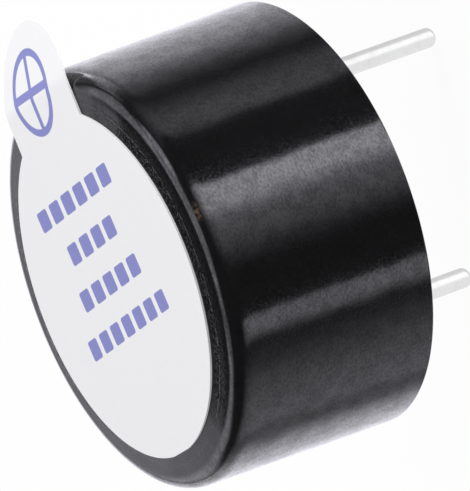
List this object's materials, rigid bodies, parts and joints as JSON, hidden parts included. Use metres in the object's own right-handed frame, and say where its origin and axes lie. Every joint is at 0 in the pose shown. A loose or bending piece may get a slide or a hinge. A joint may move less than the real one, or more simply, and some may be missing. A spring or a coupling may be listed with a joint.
{
  "type": "electronic buzzer",
  "caption": "Round black through-hole magnetic buzzer with a peel-off wash seal over its sound hole and straight wire pins.",
  "frame": {"origin": "middle of the pin row, on the plane of the case's base rim", "axes": "+Z along the case's axis towards the sound hole and seal, +X along the pin row towards the long positive pin and the pull tab, pins pointing to -Z"},
  "size_m": [0.0135, 0.012, 0.0118],
  "materials": {
    "case_plastic": "satin moulded black, with a finely eroded flat top",
    "seal_sheet": "coated white label sheet",
    "spring_steel": "rolled bright",
    "plain_steel": "pressed and plated",
    "frame_plastic": "natural moulded",
    "ferrite": "sintered dark grey",
    "copper_wire": "enamelled copper",
    "laminate": "bare laminate",
    "copper_foil": "bare copper",
    "moulded_epoxy": "moulded black",
    "chip_ceramic": "glazed black",
    "tinned_wire": "bright tin",
    "solder": "dull solder",
    "potting": "cast black resin"
  },
  "bodies": {
    "root": {"housing": "case_plastic", "wash_seal": "seal_sheet", "diaphragm": "spring_steel", "diaphragm_weight": "plain_steel", "support_ring": "frame_plastic", "ring_magnet": "ferrite", "yoke_plate": "plain_steel", "pole_core": "plain_steel", "bobbin": "frame_plastic", "drive_coil": "copper_wire", "feedback_coil": "copper_wire", "circuit_board": "laminate", "copper_tracks": "copper_foil", "transistor_body": "moulded_epoxy", "transistor_leads": "tinned_wire", "resistor_body": "chip_ceramic", "resistor_caps": "tinned_wire", "positive_pin": "tinned_wire", "negative_pin": "tinned_wire", "positive_solder": "solder", "negative_solder": "solder", "supply_solder": "solder", "collector_solder": "solder", "feedback_solder": "solder", "potting_resin": "potting"}
  },
  "joints": []
}
